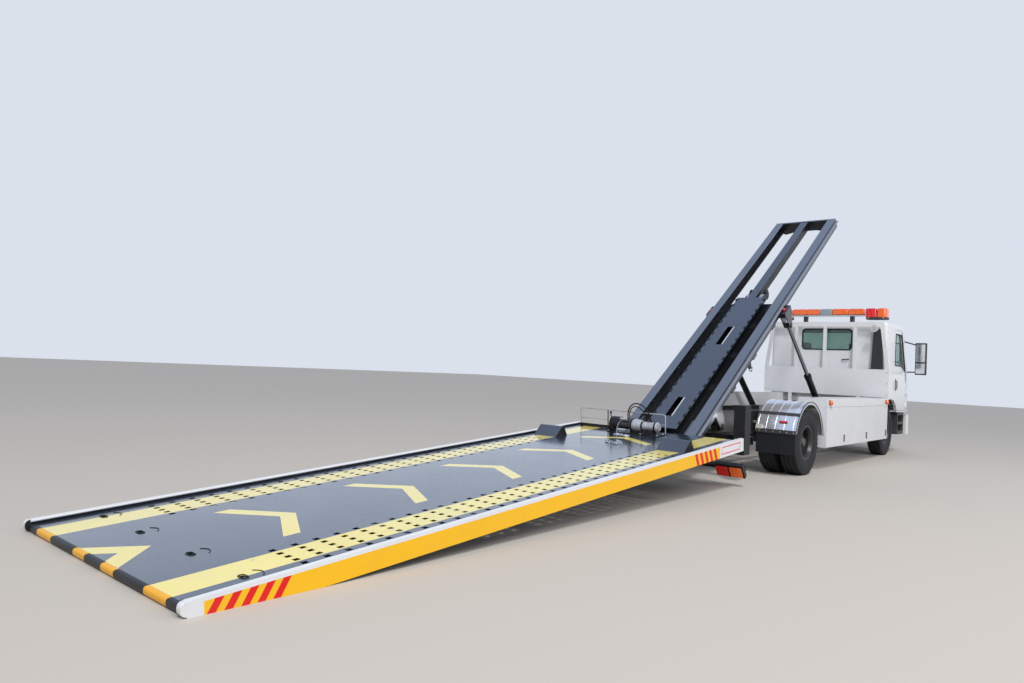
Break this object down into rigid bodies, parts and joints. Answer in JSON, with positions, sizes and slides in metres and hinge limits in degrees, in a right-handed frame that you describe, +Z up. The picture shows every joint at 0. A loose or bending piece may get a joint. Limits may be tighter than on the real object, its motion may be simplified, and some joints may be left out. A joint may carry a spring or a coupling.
{
  "type": "flatbed tow truck",
  "caption": "Flatbed tow truck with its deck slid back and lowered flat to the ground off a raised tilt frame, with a winch, side lockers and a cab-over cab.",
  "frame": {"origin": "middle of the bounding box at ground level, deck lowered and frame raised as in the picture", "axes": "+X towards the cab's front, +Y to the truck's left, +Z up"},
  "size_m": [13.8796, 2.59, 3.9216],
  "materials": {
    "white_paint": "smooth gloss enamel",
    "black_paint": "satin enamel",
    "grey_paint": "satin enamel",
    "yellow_paint": "gloss enamel",
    "galvanised": "galvanised",
    "bright_steel": "polished",
    "wire": "stranded wire",
    "casting": "rough casting",
    "tyre": "moulded rubber",
    "rubber": "sheet rubber",
    "lamp_plastic": "clear coloured plastic",
    "black_plastic": "grained plastic",
    "seat_cloth": "woven cloth",
    "glass": "clear"
  },
  "bodies": {
    "chassis": {"chassis_frame": "black_paint", "rear_beam": "black_paint", "engine_block": "casting", "front_axle": "black_paint", "rear_axle": "black_paint", "leaf_springs": "casting", "headboard": "white_paint", "snorkel": "black_plastic", "body_lamps": "lamp_plastic", "locker_left": "white_paint", "locker_right": "white_paint", "rear_fenders": "bright_steel", "mud_flaps": "rubber", "front_bumper": "white_paint", "cab_steps": "black_plastic"},
    "cab": {"cab_floor": "white_paint", "cab_back": "white_paint", "cab_sides": "white_paint", "cab_roof": "white_paint", "cab_front": "white_paint", "cab_glass": "glass", "cab_interior": "seat_cloth", "mirrors": "black_plastic", "light_bar": "lamp_plastic"},
    "door_right": {"door_right": "white_paint", "door_glass_right": "glass"},
    "door_left": {"door_left": "white_paint", "door_glass_left": "glass"},
    "locker_lid_right": {"locker_lid_right": "white_paint"},
    "locker_lid_left": {"locker_lid_left": "white_paint"},
    "knuckle_right": {"knuckle_right": "casting"},
    "knuckle_left": {"knuckle_left": "casting"},
    "front_wheel_right": {"front_tyre_right": "tyre", "front_rim_right": "galvanised"},
    "front_wheel_left": {"front_tyre_left": "tyre", "front_rim_left": "galvanised"},
    "rear_wheels_right": {"rear_tyres_right": "tyre", "rear_rims_right": "galvanised"},
    "rear_wheels_left": {"rear_tyres_left": "tyre", "rear_rims_left": "galvanised"},
    "tilt_frame": {"frame_rails": "grey_paint", "frame_cover": "grey_paint", "roller_chains": "casting", "tail_lamps": "black_paint"},
    "carriage": {"carriage": "grey_paint"},
    "deck": {"deck_floor": "grey_paint", "lash_tracks": "yellow_paint", "side_rails": "yellow_paint", "deck_beams": "grey_paint", "wheel_chocks": "black_paint", "winch": "galvanised", "winch_guard": "galvanised", "winch_rope": "wire", "rope_hook": "galvanised"},
    "cylinder_barrels": {"cylinder_barrels": "black_paint"},
    "cylinder_rods": {"cylinder_rods": "bright_steel"}
  },
  "joints": [
    {"name": "frame_tilt", "type": "hinge", "parent": "chassis", "child": "tilt_frame", "pos_m": [-0.03424, 0, 0.62], "axis": [0, 1, 0], "range_deg": [0, 35.7]},
    {"name": "carriage_slide", "type": "slide", "parent": "tilt_frame", "child": "carriage", "axis": [0.8121, 0, 0.5835], "range_m": [0, 5.4557]},
    {"name": "deck_pitch", "type": "hinge", "parent": "carriage", "child": "deck", "pos_m": [-1.02424, 0, 0.446], "axis": [0, -1, 0], "range_deg": [0, 31.09]},
    {"name": "cylinder_swing", "type": "hinge", "parent": "chassis", "child": "cylinder_barrels", "pos_m": [3.58576, 0, 0.6], "axis": [0, -1, 0], "range_deg": [0, 36.48]},
    {"name": "rod_slide", "type": "slide", "parent": "cylinder_barrels", "child": "cylinder_rods", "axis": [-0.7808, 0, 0.6248], "range_m": [-0.94482, 0]},
    {"name": "steer_right", "type": "hinge", "parent": "chassis", "child": "knuckle_right", "pos_m": [5.60076, -0.7, 0.4255], "axis": [0, 0, 1], "range_deg": [-33, 33]},
    {"name": "steer_left", "type": "hinge", "parent": "chassis", "child": "knuckle_left", "pos_m": [5.60076, 0.7, 0.4255], "axis": [0, 0, 1], "range_deg": [-33, 33]},
    {"name": "front_spin_right", "type": "hinge", "parent": "knuckle_right", "child": "front_wheel_right", "pos_m": [5.60076, -0.84, 0.4255], "axis": [0, 1, 0], "continuous": true},
    {"name": "front_spin_left", "type": "hinge", "parent": "knuckle_left", "child": "front_wheel_left", "pos_m": [5.60076, 0.84, 0.4255], "axis": [0, 1, 0], "continuous": true},
    {"name": "rear_spin_right", "type": "hinge", "parent": "chassis", "child": "rear_wheels_right", "pos_m": [1.28576, -0.805, 0.4255], "axis": [0, 1, 0], "continuous": true},
    {"name": "rear_spin_left", "type": "hinge", "parent": "chassis", "child": "rear_wheels_left", "pos_m": [1.28576, 0.805, 0.4255], "axis": [0, 1, 0], "continuous": true},
    {"name": "cab_tilt", "type": "hinge", "parent": "chassis", "child": "cab", "pos_m": [6.73576, 0, 0.775], "axis": [0, 1, 0], "range_deg": [0, 45]},
    {"name": "door_swing_right", "type": "hinge", "parent": "cab", "child": "door_right", "pos_m": [6.65976, -1.012, 1], "axis": [0, 0, 1], "range_deg": [0, 65]},
    {"name": "door_swing_left", "type": "hinge", "parent": "cab", "child": "door_left", "pos_m": [6.65976, 1.012, 1], "axis": [0, 0, -1], "range_deg": [0, 65]},
    {"name": "locker_lift_right", "type": "hinge", "parent": "chassis", "child": "locker_lid_right", "pos_m": [3.49576, -1.1, 0.886], "axis": [-1, 0, 0], "range_deg": [0, 95]},
    {"name": "locker_lift_left", "type": "hinge", "parent": "chassis", "child": "locker_lid_left", "pos_m": [3.49576, 1.1, 0.886], "axis": [1, 0, 0], "range_deg": [0, 95]}
  ],
  "couplings": [
    {"joint": "carriage_slide", "follows": "frame_tilt", "m_per_rad": 8.7557},
    {"joint": "deck_pitch", "follows": "frame_tilt", "ratio": 0.87023},
    {"joint": "cylinder_swing", "follows": "frame_tilt", "ratio": 1.0212},
    {"joint": "rod_slide", "follows": "frame_tilt", "m_per_rad": -1.516},
    {"joint": "steer_left", "follows": "steer_right", "ratio": 1}
  ]
}
